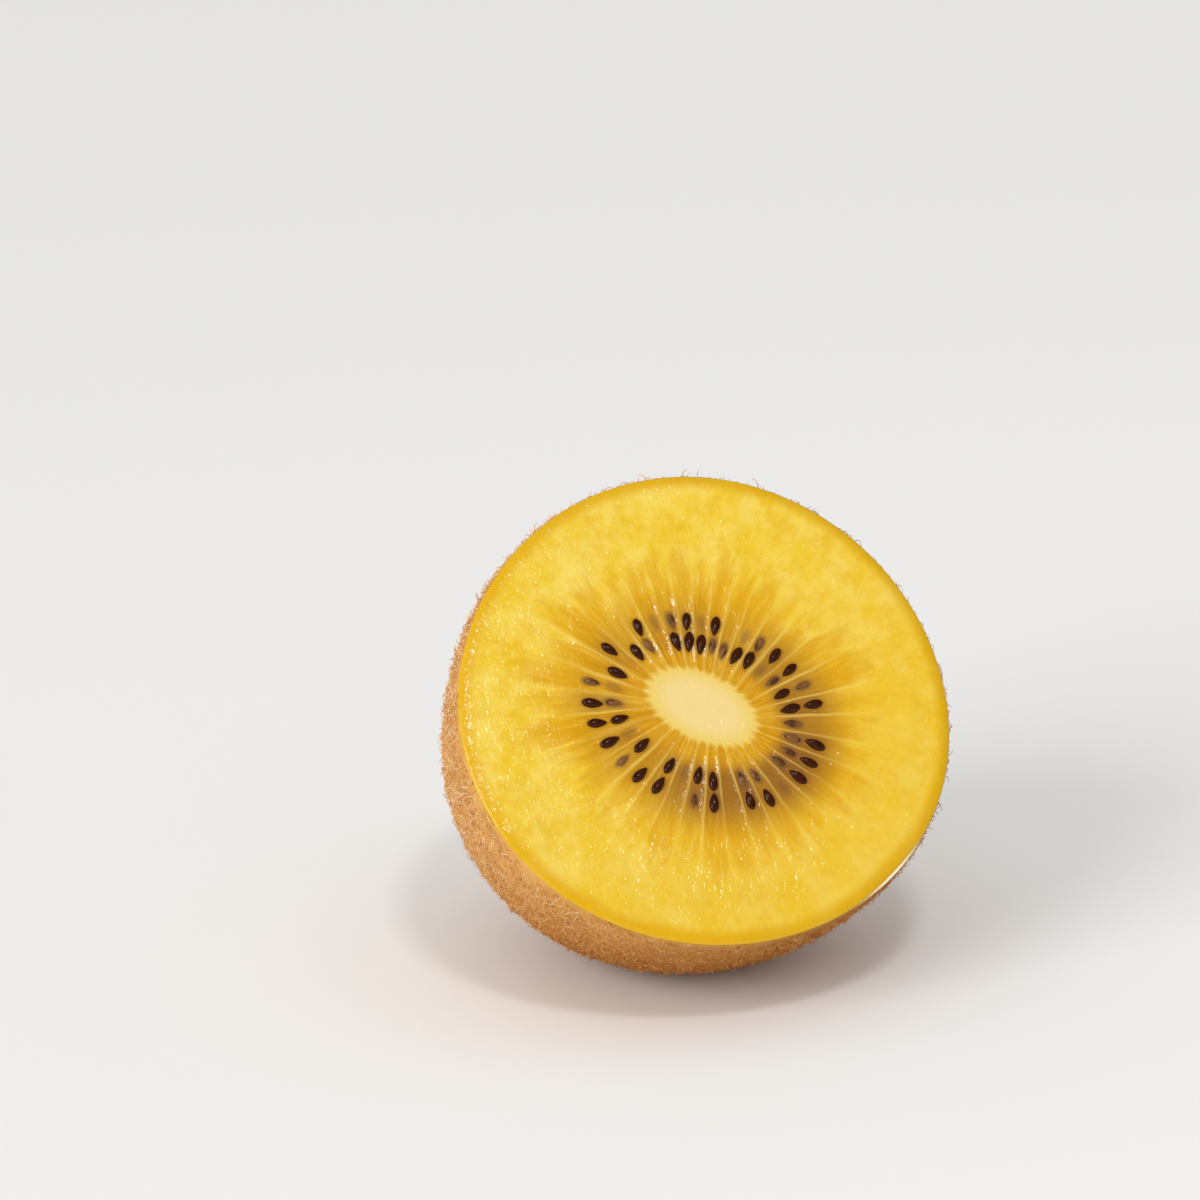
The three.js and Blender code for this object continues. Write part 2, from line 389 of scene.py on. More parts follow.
# %% Where each seed lies
STRAY_OUT, STRAY_ROUND, STRAY_HEADING, STRAY_SIZE = 0.16 * MM, 0.03, math.radians(8), 0.08
draw = np.random.default_rng(7)
seeds = []
for row, letters in enumerate((INNER_ROW, OUTER_ROW)):
    for number, letter in enumerate(letters):
        stray = draw.uniform(-1, 1, 4)
        if letter == ".":
            continue
        past = RING_PAST + (row - 0.5) * ROW_SPACING + STRAY_OUT * stray[0]
        right, up = spoke(number + STRAY_ROUND * stray[3], past)
        inner_right, inner_up = spoke(number, past - 1.5 * MM)
        heading = math.atan2(up - inner_up, right - inner_right) + STRAY_HEADING * stray[1]
        size = 1 + STRAY_SIZE * stray[2]
        seeds.append({"kind": letter, "right": right, "up": up, "heading": heading, "size": size})
print("seeds:", len(seeds), "proud:", sum(seed["kind"] == "P" for seed in seeds))

# %% [markdown]
# ## The cut flesh
# The face is one skin of fine cells laid along the spokes, so that the pale walls can stand up
# a hair and the chambers sink. A flat disc with a painted picture would miss the wet relief, and
# a sculpted one could not be repeated. Rings of points run from the core's middle to the rim, roll
# over it, and close up inside the peel. Flesh and core are one mesh here, because on the real fruit
# nothing parts them: only the colour changes.

# %% Where the face ends
STEPS_PER_CHAMBER = 12
OVERHANG = 0.03 * MM  # the rim of the flesh ends this far inside the peel's outer face
LIP_TURN, LIP_WIDTH = math.radians(-51), 0.17  # the cut left the peel standing up a little here
LIP_BACK = 0.3 * MM  # and the flesh ends this much further inside it
column = np.arange(CHAMBERS * STEPS_PER_CHAMBER) / STEPS_PER_CHAMBER  # chamber numbers round the face


def lip(turn):
    """How much the peel stands up at the cut, from 0 to 1."""
    away = np.angle(np.exp(1j * (turn - LIP_TURN)))
    return np.exp(-((away / LIP_WIDTH) ** 2))


def past_at_edge():
    """How far past the core's edge each column meets the peel, found by stepping closer."""
    past = np.full(len(column), 20 * MM)
    for _ in range(40):
        right, up = spoke(column, past)
        turn = np.arctan2(up, right)
        edge = HALF_WIDTH * spread(turn) - OVERHANG - LIP_BACK * lip(turn)
        past = past + edge - np.hypot(right, up)
    return past


edge_past = past_at_edge()
print("from the core to the peel, mm:", round(edge_past.min() / MM, 1), "to", round(edge_past.max() / MM, 1))

# %% Rings of points on the cut face
CORE_RINGS, FLAT_RINGS, RIM_RINGS = 13, 80, 10
RIM_WIDTH, RIM_DROP = 1.8 * MM, 0.45 * MM
core_shares = np.linspace(0, 1, CORE_RINGS + 2)[1:-1]
rim_shares = np.sin(np.linspace(0, math.pi / 2, RIM_RINGS + 1))[1:]

rings = []  # each is (right, up, past the core's edge, distance to the rim)
edge_right, edge_up = spoke(column, 0 * column)
for share in core_shares:
    right = CORE_MIDDLE[0] + share * (edge_right - CORE_MIDDLE[0])
    up = CORE_MIDDLE[1] + share * (edge_up - CORE_MIDDLE[1])
    past = -(1 - share) * 5 * MM
    rings.append((right, up, past + 0 * column, edge_past - past))
outer_pasts = [share * (edge_past - RIM_WIDTH) for share in np.linspace(0, 1, FLAT_RINGS)]
outer_pasts += [edge_past - RIM_WIDTH * (1 - share) for share in rim_shares]
rings += [(*spoke(column, past), past, edge_past - past) for past in outer_pasts]
print("rings:", len(rings), "points in each:", len(column))


# %% Unevenness
def soft_step(value, low, high):
    share = np.clip((value - low) / (high - low), 0, 1)
    return share * share * (3 - 2 * share)


def rough(points, cell, seed):
    """Smooth unevenness between -1 and 1 with lumps of about the cell's size."""
    shift = Vector((seed * 7.3, seed * 3.1, seed * 5.7))
    return np.array([noise.noise(Vector(point) / cell + shift) for point in points])


def lumpy(points, *layers):
    """Unevenness in metres, from layers of (height in mm, lump size in mm, seed)."""
    return sum(height * MM * rough(points, cell * MM, seed) for height, cell, seed in layers)


# %% Marks that the seeds leave on the face
def seed_marks(right, up):
    """For points on the face: nearness to a seed just below the cut, and to one that stands proud."""
    sunk, round_seed = np.zeros(right.shape), np.zeros(right.shape)
    for seed in seeds:
        away_right, away_up = right - seed["right"], up - seed["up"]
        cos, sin = math.cos(seed["heading"]), math.sin(seed["heading"])
        along = (away_right * cos + away_up * sin) / (SEED_LENGTH * seed["size"] / 2)
        across = (away_up * cos - away_right * sin) / (SEED_WIDTH * seed["size"] / 2)
        reach = np.hypot(along, across / (1 + SEED_TAPER * np.clip(along, -1, 1)))
        if seed["kind"] == "P":
            round_seed = np.maximum(round_seed, 1 - soft_step(reach, 0.9, 1.45))
        elif seed["kind"] == "S":
            sunk = np.maximum(sunk, 1 - soft_step(reach, 0.75, 1.3))
        else:
            sunk = np.maximum(sunk, 0.6 * (1 - soft_step(reach, 0.45, 1.35)))
    return sunk, round_seed


# %% Relief of the face
WALL_RISE, CHAMBER_SINK = 0.035 * MM, 0.03 * MM


def face_height(right, up, past, to_rim, number):
    """How far each point of the face stands above the plane of the cut."""
    from_chamber = np.abs((number + 0.5) % 1 - 0.5) * 2  # 0 in a chamber's middle, 1 on a wall
    wheel = soft_step(past, 0, 1.5 * MM) * (1 - soft_step(past, 7 * MM, 13 * MM))
    walls = wheel * (WALL_RISE * soft_step(from_chamber, 0.5, 1) - CHAMBER_SINK * (1 - from_chamber))
    points = np.stack([right, up, 0 * right], -1)
    uneven = lumpy(points, (0.07, 3.2, 1), (0.03, 0.9, 2)) * soft_step(past, -2 * MM, 2 * MM)
    inwards = np.clip(1 - to_rim / RIM_WIDTH, 0, 1)
    roll = RIM_DROP * (1 - np.sqrt(1 - inwards**2.4))
    return walls + uneven * (1 - inwards) + lumpy(points, (0.012, 0.35, 3)) - roll


# %% Meshes from rings of points
def band(low, high, count):
    """Faces between two rings, each given by the number of its first point."""
    return [(low + a, high + a, high + (a + 1) % count, low + (a + 1) % count) for a in range(count)]


def fan(low, tip, count):
    """Faces between a ring and one point."""
    return [(low + a, tip, low + (a + 1) % count) for a in range(count)]


def closed_rings(name, first, rings, last):
    """A closed mesh with a point at each end and rings of points between them."""
    count = len(rings[0])
    starts = [1 + ring * count for ring in range(len(rings))]
    faces = [(0, 1 + a, 1 + (a + 1) % count) for a in range(count)]
    for low, high in zip(starts, starts[1:]):
        faces += band(low, high, count)
    faces += fan(starts[-1], 1 + len(rings) * count, count)
    piece = new_piece(name, np.concatenate([[first], *rings, [last]]).tolist(), faces)
    piece.data.shade_smooth()
    return piece


def on_floor(points, above=0.0):
    """Lifts what would be lower than the floor, or than a height above it."""
    points[:, 2] = np.maximum(points[:, 2], above)
    return points


def barrel_ring(angle, turn, inset):
    """A ring of points on the barrel, inset under its skin, at an angle from the cut to the stem end."""
    across, down = math.cos(angle) ** (2 / FULLNESS), math.sin(angle) ** (2 / FULLNESS)
    lean = Vector((across ** (FULLNESS - 1) / HALF_WIDTH, down ** (FULLNESS - 1) / LENGTH)).normalized()
    right, up = around(HALF_WIDTH * across - inset * lean.x, turn)
    return right, up, inset * lean.y - LENGTH * down + 0 * turn


def give(mesh, name, values):
    """Keeps a number, or three, for each point of a mesh, for its finish to read."""
    values = np.asarray(values, np.float32)
    kind, field = ("FLOAT_VECTOR", "vector") if values.ndim == 2 else ("FLOAT", "value")
    mesh.attributes.new(name, kind, "POINT").data.foreach_set(field, values.ravel())


# %% The flesh piece
PEEL = 0.14 * MM  # how thick the peel is
PEEL_CLEAR = 0.03 * MM  # the flesh stays this far inside it
LIP_INSET = 0.16 * MM  # and this much further where the peel stands up
FLOOR_GAP = 0.25 * MM  # it stays this far above the floor, with the peel below it
SIDE_ANGLES = (0.0088, 0.04, *np.linspace(0.1, 1.15, 20))
FLESH_ENDS = {"wheel": ((0, 0, -5), (0, 0, 20)), "to_rim": (20, 0), "sunk_seed": (0, 0), "seed_edge": (0, 0)}


def make_flesh():
    spin = column / CHAMBERS * math.tau
    levels, marks = [], []  # a ring's marks are in the order of FLESH_ENDS
    for right, up, past, to_rim in rings:
        levels.append(place(right, up, face_height(right, up, past, to_rim, column)))
        wheel = np.stack([np.cos(spin), np.sin(spin), past / MM], -1)
        marks.append((wheel, to_rim / MM, *seed_marks(right, up)))
    turn = np.arctan2(up, right)
    for angle in SIDE_ANGLES:
        right, up, out = barrel_ring(angle, turn, PEEL + PEEL_CLEAR + LIP_INSET * lip(turn))
        levels.append(on_floor(place(right, up, out), FLOOR_GAP))
        marks.append((wheel, 0 * turn, 0 * turn, 0 * turn))
    bottom = place(0.0, 0.0, float(out.mean()))
    flesh = closed_rings("golden_flesh", place(*CORE_MIDDLE, 0.0), levels, bottom)
    for parts, (name, (start, end)) in zip(zip(*marks), FLESH_ENDS.items()):
        give(flesh.data, name, np.concatenate([[start], *parts, [end]]))
    return flesh


flesh = make_flesh()
print("flesh faces:", len(flesh.data.polygons))

# %% [markdown]
# ## The colours of the flesh
# The colours follow the wheel: a cream core with a scalloped edge, amber round it, pale walls between
# golden chambers with rounded ends, then clouded yellow flesh and a deeper band at the rim. A painted
# image would blur up close. Here each colour is a rule that reads how far a point is past the core
# and how far round the wheel, with a little noise so that no two spokes are alike.

# %% Marks that the flesh's finish reads
flesh_finish, tree, shader = new_finish("golden flesh")
wheel = mark("wheel", "Vector")
wheel_x, wheel_y, past = split(wheel)
to_rim = mark("to_rim")
where = add(tree, "ShaderNodeTexCoord").outputs["Object"]


def cloud(cells_per_metre, detail=2.0, roughness=0.5, seed=0.0):
    """Soft noise between 0 and 1, in the finish that is being made."""
    moved = vector_calc("ADD", where, (seed, seed * 0.7, -seed))[0]
    return soft_noise(moved, cells_per_metre, detail, roughness)


def fibres(per_turn, per_mm, detail=2.0):
    """Noise between 0 and 1 that is drawn out along the spokes."""
    reach = per_turn / math.tau
    turned = vector_calc("MULTIPLY", wheel, (reach, reach, per_mm))[0]
    return soft_noise(turned, 1.0, detail)


def both_ways(value):
    """Noise moved to lie between -0.5 and 0.5."""
    return calc("SUBTRACT", value, 0.5)


def luck(which, seed):
    """A number between 0 and 1 that a chamber or a wall keeps for itself."""
    seeded = calc("ADD", which, seed)
    return add(tree, "ShaderNodeTexWhiteNoise", {"W": seeded}, noise_dimensions="1D").outputs["Value"]


def towards(right, up, low, high):
    """Rises from 0 to 1 towards the side of the face given by right and up."""
    side = vector_calc("DOT_PRODUCT", wheel, (right, up, 0.0))["Value"]
    return rise(side, low, high)


# %% Which chamber and which wall a point is near
number = times(calc("ARCTAN2", wheel_y, wheel_x), CHAMBERS / math.tau)
number = calc("ADD", number, times(both_ways(fibres(30, 0.2)), 0.3))
chamber = calc("FLOORED_MODULO", calc("ROUND", number), CHAMBERS)
wall = calc("FLOORED_MODULO", calc("FLOOR", number), CHAMBERS)
sideways = calc("FRACT", calc("ADD", number, 0.5))
off_middle = calc("ABSOLUTE", line(sideways, 2.0, -1.0))  # 1 on a wall
roundness = calc("POWER", off_middle, 2.5)

# %% How much of a wall shows
gap = line(past, 0.185, 0.98)  # the distance between two walls, mm
wall_width = line(luck(wall, 0.3), 0.16, 0.16)
wall_share = calc("DIVIDE", times(wall_width, 2.0), gap)
into_wall = calc("SUBTRACT", off_middle, calc("SUBTRACT", 1.0, wall_share))
wall_rise = rise(calc("DIVIDE", into_wall, wall_share), 0.0, 1.0)
wall_end = line(luck(wall, 9.1), 7.0, 7.5)
wall_fade = rise(calc("DIVIDE", past, wall_end), 1.35, 0.3)
wall_fade = times(wall_fade, line(luck(wall, 3.3), 0.5, 0.5))
wall_show = times(wall_rise, wall_fade, line(rise(past, 0.6, 3.4), 0.55, 0.45))
wall_show = times(wall_show, rise(past, -0.2, 0.5))

# %% How much of a chamber shows
chamber_end = line(luck(chamber, 4.7), 3.4, 10.6)
chamber_end = calc("SUBTRACT", chamber_end, times(roundness, 2.4))
ragged = line(both_ways(fibres(120, 0.35, 3)), -8.0, past)
beyond = calc("SUBTRACT", ragged, chamber_end)
chamber_show = rise(beyond, 2.8, -4.4)
chamber_tip = times(rise(beyond, -3.4, -1.2), rise(beyond, 1.0, -1.2), luck(chamber, 1.9))

# %% Clouded yellow flesh
cloudy = colour(236, 197, 42)
cloudy = tint(cloudy, rise(cloud(230, 4, 0.6), 0.35, 0.7), 0.9, colour(244, 217, 104))
cloudy = tint(cloudy, rise(cloud(380, 3, 0.6, 0.3), 0.45, 0.75), 0.6, colour(230, 180, 10))
cloudy = tint(cloudy, rise(fibres(210, 0.7, 3), 0.4, 0.75), 0.28, colour(249, 222, 92))
streaks = times(rise(fibres(150, 0.22, 3), 0.5, 0.75), rise(past, 17.0, 9.0))
cloudy = tint(cloudy, streaks, 0.4, colour(250, 222, 100))
# painted shade: the flesh turns a little darker towards the lower right, away from the light
painted_shade = towards(0.6, -0.8, -0.6, 1.0)
cloudy = tint(cloudy, painted_shade, 0.45, colour(230, 186, 44))
freckles = add(tree, "ShaderNodeTexVoronoi", {"Vector": where, "Scale": 300.0})
freckle = times(rise(freckles.outputs["Distance"], 0.26, 0.06), 0.4)
freckle_luck = split(freckles.outputs["Color"])[0]
cloudy = tint(cloudy, freckle, rise(freckle_luck, 0.7, 1.0), colour(221, 166, 4))

# %% Amber chambers
amber = blend(rise(past, 10.0, 2.0), colour(220, 162, 2), colour(206, 142, 0))
amber = tint(amber, rise(fibres(190, 0.3, 3), 0.42, 0.72), 0.5, colour(238, 194, 48))
face = tint(cloudy, chamber_show, line(luck(chamber, 2.2), 0.2, 0.82), amber)
face = tint(face, chamber_tip, 0.35, colour(222, 166, 2))
threads = times(rise(fibres(330, 0.1, 1), 0.55, 0.72), rise(past, 12.0, 4.0))
face = tint(face, threads, line(rise(past, 0.5, 3.5), 0.3, 0.12), colour(240, 200, 80))

# %% Smoke round the seeds, pale walls and sunken seeds
smoky = times(rise(past, 1.0, 3.2), rise(past, 10.5, 5.0))
# the brown smoke round the seeds is the flesh's own colour, and painted shade makes it stronger towards the
# lower right
smoky_share = line(luck(chamber, 6.1), 0.35, line(painted_shade, 0.6, 0.08))
face = tint(face, smoky, smoky_share, colour(150, 98, 32))
face = tint(face, wall_show, 0.6, colour(242, 208, 104))
face = tint(face, mark("sunk_seed"), 0.8, colour(124, 88, 48))
face = tint(face, mark("seed_edge"), 0.5, colour(176, 112, 24))

# %% The core and the rim
teeth = line(both_ways(fibres(30, 0.3)), 1.0, line(roundness, 0.5, -0.3))
core_share = rise(calc("SUBTRACT", past, teeth), 0.45, -0.45)
core_colour = blend(rise(past, -2.6, 0.0), colour(240, 214, 142), colour(236, 204, 100))
face = blend(core_share, face, core_colour)
rim_most = line(cloud(300, 2, 0.5, 1.3), 0.4, 0.65)
face = tint(face, rise(to_rim, 2.0, 0.5), rim_most, colour(222, 170, 0))
print("nodes for the colours of the flesh:", len(tree.nodes))

# %% [markdown]
# ## The wet film on the flesh
# Juice stands on the cut as a thin clear film, and light goes a little way into the flesh below it.
# One bumpy surface could stand for both, but strong bumps darken the yellow like cracks. So the
# flesh has a calm relief of its own, and the clear coat over it has that relief and short dashes
# along the spokes, at the left and below, where the film breaks up and catches the lamp.

# %% Relief of the flesh and of the film
calm = times(rise(past, -0.5, 1.5), line(rise(past, 6.0, 12.0), 0.4, 0.14))
beads = rise(cloud(1700, 1, 0.4, 2.1), 0.6, 0.72)
height = line(beads, 0.15, times(cloud(2600, 2), 0.3))
height = line(fibres(150, 0.8, 3), calm, height)
wet_left = times(towards(-1.0, 0.3, 0.2, 0.8), rise(fibres(140, 2.4, 1), 0.4, 0.66))
wet_low = times(towards(0.1, -1.0, 0.4, 0.9), rise(fibres(200, 0.9, 1), 0.4, 0.66))
wet_low = times(wet_low, rise(to_rim, 3.0, 5.0))
patches = times(rise(past, 8.0, 12.0), rise(to_rim, 0.0, 0.7))
patches = times(patches, rise(cloud(420, 1, 0.5, 3.3), 0.35, 0.5))
dashes = times(calc("ADD", wet_left, wet_low), patches)

# %% The finish of the flesh
wet_flesh = {
    "Base Color": face,
    "Normal": bump(height, 0.6, 0.15 * MM),
    "Roughness": line(core_share, 0.25, 0.4),
    "Specular IOR Level": 0.06,
    "Subsurface Weight": 0.2,
    "Subsurface Radius": (1.0, 0.62, 0.12),
    "Subsurface Scale": 0.8 * MM,
    "Coat Normal": bump(line(dashes, 0.45, height), 0.7, 0.15 * MM),
    "Coat Weight": 0.9,
    "Coat IOR": 1.38,
    "Coat Roughness": 0.1,
}
connect(tree, shader, wet_flesh)
flesh.data.materials.append(flesh_finish)
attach(flesh, "root")
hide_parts("flesh", "core")

# %% [markdown]
# ## The seeds
# Each seed is a small glossy drop, near black, about 2.2 mm long, with its narrow end towards
# the core. Some stand proud of the cut, and some are only skimmed by it and look brown through a film
# of flesh. Fifty seeds could be placed by hand. A node tree does it from a cloud of points instead:
# each point knows its heading, its size and how much flesh covers it.

# %% Points for the seeds
shown = [seed for seed in seeds if seed["kind"] in SEED_HEIGHT]
seed_places = [place(seed["right"], seed["up"], SEED_HEIGHT[seed["kind"]]) for seed in shown]
seed_piece = new_piece("seeds", [tuple(point) for point in seed_places])
give(seed_piece.data, "heading", [seed["heading"] for seed in shown])
give(seed_piece.data, "size", [seed["size"] for seed in shown])
give(seed_piece.data, "film", [float(seed["kind"] == "S") for seed in shown])
print("seeds that are pieces of their own:", len(shown))

# %% The finish of the seeds
seed_finish, tree, shader = new_finish("glossy seed")
film = mark("film")
where = add(tree, "ShaderNodeTexCoord").outputs["Object"]
dark = blend(cloud(1800, 3), colour(22, 6, 0), colour(78, 32, 6))
veiled = blend(rise(cloud(900, 2), 0.4, 0.6), colour(88, 50, 22), colour(128, 86, 42))
glossy_seed = {
    "Base Color": blend(film, dark, veiled),
    "Normal": bump(cloud(5200, 2), 0.35, 0.04 * MM),
    "Roughness": line(film, 0.3, 0.24),
    "Specular IOR Level": 0.03,
    "Coat Weight": 0.5,
    "Coat IOR": 1.42,
    "Coat Roughness": 0.12,
}
connect(tree, shader, glossy_seed)


# %% Helpers for trees that grow pieces
def new_tree(name, sizes):
    """A geometry tree, what is given to it, and the names that its modifier has for the sizes."""
    tree = bpy.data.node_groups.new(name, "GeometryNodeTree")
    tree.interface.new_socket("Geometry", in_out="INPUT", socket_type="NodeSocketGeometry")
    sockets = {}
    for label, value in sizes.items():
        kind = "NodeSocketInt" if isinstance(value, int) else "NodeSocketFloat"
        socket = tree.interface.new_socket(label, in_out="INPUT", socket_type=kind)
        socket.default_value = value
        sockets[label] = socket.identifier
    tree.interface.new_socket("Geometry", in_out="OUTPUT", socket_type="NodeSocketGeometry")
    return tree, add(tree, "NodeGroupInput").outputs, sockets


def named(name):
    """A value that each point carries."""
    return add(tree, "GeometryNodeInputNamedAttribute", {"Name": name}, data_type="FLOAT").outputs[0]


def position():
    """The three parts of each point's place."""
    return split(add(tree, "GeometryNodeInputPosition").outputs[0])


def put(geometry, places):
    """Moves each point of a node's geometry to its place."""
    inputs = {"Geometry": geometry.outputs[0], "Position": places}
    return add(tree, "GeometryNodeSetPosition", inputs).outputs[0]


def rotation(x=0.0, z=0.0):
    """A rotation from angles about x and z."""
    return add(tree, "FunctionNodeEulerToRotation", {0: join(x, 0.0, z)}).outputs[0]


def turned_by(first, more):
    """A rotation followed by one about its own axes."""
    return add(tree, "FunctionNodeRotateRotation", {0: first, 1: more}, rotation_space="LOCAL").outputs[0]


def finish_tree(geometry, material):
    """Makes the instances real and gives them their finish."""
    real = add(tree, "GeometryNodeRealizeInstances", {0: geometry})
    dressed = add(tree, "GeometryNodeSetMaterial", {"Geometry": real.outputs[0], "Material": material})
    add(tree, "NodeGroupOutput", {0: dressed.outputs[0]})


def grow(piece, tree, sizes):
    """Runs a tree on a piece and keeps the result as a plain mesh."""
    modifier = piece.modifiers.new("grow", "NODES")
    modifier.node_group = tree
    for identifier, value in sizes.items():
        modifier[identifier] = value
    ready = piece.evaluated_get(bpy.context.evaluated_depsgraph_get())
    mesh = bpy.data.meshes.new_from_object(ready)
    piece.modifiers.clear()
    piece.data = mesh


# %% The shape of a seed
seed_sizes = {"Length": SEED_LENGTH, "Width": SEED_WIDTH, "Thickness": SEED_THICKNESS, "Taper": SEED_TAPER}
tree, given, seed_sockets = new_tree("seeds", seed_sizes)
ball = add(tree, "GeometryNodeMeshIcoSphere", {"Radius": 0.5, "Subdivisions": 4})
x, y, z = position()
along = times(x, 2.0)
narrow = line(along, given["Taper"], 1.0)
narrow = times(narrow, line(calc("POWER", along, 2.0), -0.2, 1.0))
long, wide = times(x, given["Length"]), times(y, given["Width"], narrow)
drop = join(long, wide, times(z, given["Thickness"]))
smooth = add(tree, "GeometryNodeSetShadeSmooth", {"Geometry": put(ball, drop)})

# %% The seeds in their places
leaning = rotation(x=math.pi / 2 - LEAN)
seed_inputs = {
    "Points": given[0],
    "Instance": smooth.outputs[0],
    "Rotation": turned_by(leaning, rotation(z=named("heading"))),
    "Scale": named("size"),
}
placed = add(tree, "GeometryNodeInstanceOnPoints", seed_inputs)
finish_tree(placed.outputs[0], seed_finish)
grow(seed_piece, tree, {seed_sockets["Length"]: SEED_LENGTH})
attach(seed_piece, "root")
print("seed faces:", len(seed_piece.data.polygons))

# %% [markdown]
# ## The peel
# The peel is a thin brown skin, and its cut edge hardly shows. It could be the flesh's side with
# another colour, but it has an edge, a thickness and a pit at the stem end, so it is a cup of its
# own: down the outside, round the pit, and back up the inside. The outside carries a low
# unevenness, and it is pressed flat where the fruit lies.

# %% The outline of the peel
COLLAR_RADIUS, COLLAR_HEIGHT = 7 * MM, 0.7 * MM
PIT_RADIUS, PIT_DEPTH = 4.6 * MM, 2.2 * MM
PIT_SHOULDER = 0.3 * MM  # the collar ends this far outside the pit's wall
PIT_WALL = ((0, 0.2 * MM), (0.1 * MM, 1 * MM), (0.25 * MM, PIT_DEPTH))  # (inwards, below the stem end)
SKIN_RINGS, COLLAR_RINGS = 112, 14


def peel_outline():
    """(radius, depth) pairs from the cut down the outside and into the pit."""
    outline = []
    for angle in np.linspace(0, math.pi / 2, SKIN_RINGS):
        radius = HALF_WIDTH * math.cos(angle) ** (2 / FULLNESS)
        if radius > COLLAR_RADIUS:
            outline.append((radius, LENGTH * math.sin(angle) ** (2 / FULLNESS)))
    for share in np.linspace(0, 1, COLLAR_RINGS):
        radius = COLLAR_RADIUS + share * (PIT_RADIUS + PIT_SHOULDER - COLLAR_RADIUS)
        raised = COLLAR_HEIGHT * math.sin(share * math.pi * 0.75) ** 2
        outline.append((radius, float(depth_at(radius)) + raised))
    return outline + [(PIT_RADIUS - inwards, LENGTH - back) for inwards, back in PIT_WALL]


# %% Rings of the peel
PEEL_COLUMNS = 330
EDGE_DROP, EDGE_WAVE = RIM_DROP + 0.06 * MM, 0.02 * MM  # the cut edge lies this far below the cut
LIP_RISE = 0.32 * MM
COLLAR_CREST, COLLAR_SPAN = 5.6 * MM, 1.1 * MM
CUT_REACH = 1.5 * MM  # how far down the peel its cut edge is felt
INSIDE_ANGLES, EDGE_ANGLE = np.linspace(1.15, 0.06, 16), 0.012  # of the rings up the inside
peel_turn = np.arange(PEEL_COLUMNS) / PEEL_COLUMNS * math.tau


def make_peel():
    """Rings down the outside and up the inside, how many are outside, and each ring's marks."""
    levels, marks = [], []  # a ring's marks are its cut edge, collar and fuzz
    bare, nothing = lip(peel_turn), np.zeros(PEEL_COLUMNS)
    wave = EDGE_WAVE * (np.sin(5 * peel_turn) + np.sin(11 * peel_turn + 1))
    top = EDGE_DROP + wave * (1 - bare) - LIP_RISE * bare
    hairless = (0.7 + 2.0 * np.clip(-1.3 * np.sin(peel_turn), 0, 1)) * MM  # a band below the cut
    outline = peel_outline()
    for radius, depth in outline:
        right, up = around(radius, peel_turn)
        near_cut = math.exp(-depth / CUT_REACH)
        points = place(right, up, -(depth + top * near_cut))
        from_axis = points - place(0.0, 0.0, -depth * 0.5)
        outwards = from_axis / np.linalg.norm(from_axis, axis=1, keepdims=True)
        at_stem = depth > LENGTH * 0.7
        collar = math.exp(-(((radius - COLLAR_CREST) / COLLAR_SPAN) ** 2)) if at_stem else 0
        lumps = lumpy(points, (0.12, 6, 4), (0.05, 1.4, 5)) + collar * lumpy(points, (0.16, 0.8, 6))
        points = on_floor(points + outwards * (lumps * (1 - near_cut))[:, None])
        levels.append(points)
        fuzz = soft_step(points[:, 2] / MM, 0.01, 0.3) * soft_step(depth, 0.1 * MM, hairless)
        marks.append((bare * (depth == 0), nothing + collar, fuzz * (radius > PIT_RADIUS)))
    for angle in INSIDE_ANGLES:
        right, up, out = barrel_ring(angle, peel_turn, PEEL)
        levels.append(on_floor(place(right, up, out), PEEL))
        marks.append((bare, nothing, nothing))
    right, up, out = barrel_ring(EDGE_ANGLE, peel_turn, PEEL + LIP_INSET * bare)
    levels.append(place(right, up, -(top - 0.02 * MM)))
    marks.append((bare, nothing, nothing))
    return levels, len(outline), marks


# %% The peel piece
def close_cup(name, levels, outer_count):
    """A cup from rings down its outside and then up its inside, with both bottoms closed."""
    starts = [ring * PEEL_COLUMNS for ring in range(len(levels))]
    faces = []
    for ring in [*range(outer_count - 1), *range(outer_count, len(levels) - 1)]:
        faces += band(starts[ring], starts[ring + 1], PEEL_COLUMNS)
    outer_end = len(levels) * PEEL_COLUMNS
    faces += fan(starts[outer_count - 1], outer_end, PEEL_COLUMNS)
    faces += [face[::-1] for face in fan(starts[outer_count], outer_end + 1, PEEL_COLUMNS)]
    faces += band(starts[-1], 0, PEEL_COLUMNS)
    bottoms = [place(0.0, 0.0, -(LENGTH - PIT_DEPTH)), place(0.0, 0.0, -(LENGTH - PIT_DEPTH - PEEL))]
    piece = new_piece(name, np.concatenate([*levels, bottoms]).tolist(), faces)
    piece.data.shade_smooth()
    return piece


levels, outer_count, marks = make_peel()
peel = close_cup("brown_peel", levels, outer_count)
for name, parts, ends in zip(("cut_edge_highlight", "collar", "fuzz"), zip(*marks), ([0, 1], [0, 0], [0, 0])):
    give(peel.data, name, np.concatenate([*parts, ends]))
print("peel faces:", len(peel.data.polygons))

# %% [markdown]
# ## The finish of the peel
# The bare peel is tan to olive brown, dry, and flecked with darker dots. It is never one flat brown:
# painted light and shade make it paler on the left and above and browner on the right and near the
# floor, and three sizes of noise vary it: broad patches, blotches of a few millimetres, and specks.
# Its cut edge is pale like the flesh just under it, and near-white where the peel stands up, which
# paints the highlight along that edge.

# %% The peel's colours
peel_finish, tree, shader = new_finish("brown peel")
where = add(tree, "ShaderNodeTexCoord").outputs["Object"]


def painted_light_side(right, height):
    """Painted light and shade: 1 on the fruit's left and above, falling to 0 on its right and near the
    floor.
    """
    return times(rise(right, 0.024, -0.016), rise(height, 0.0, 0.02))


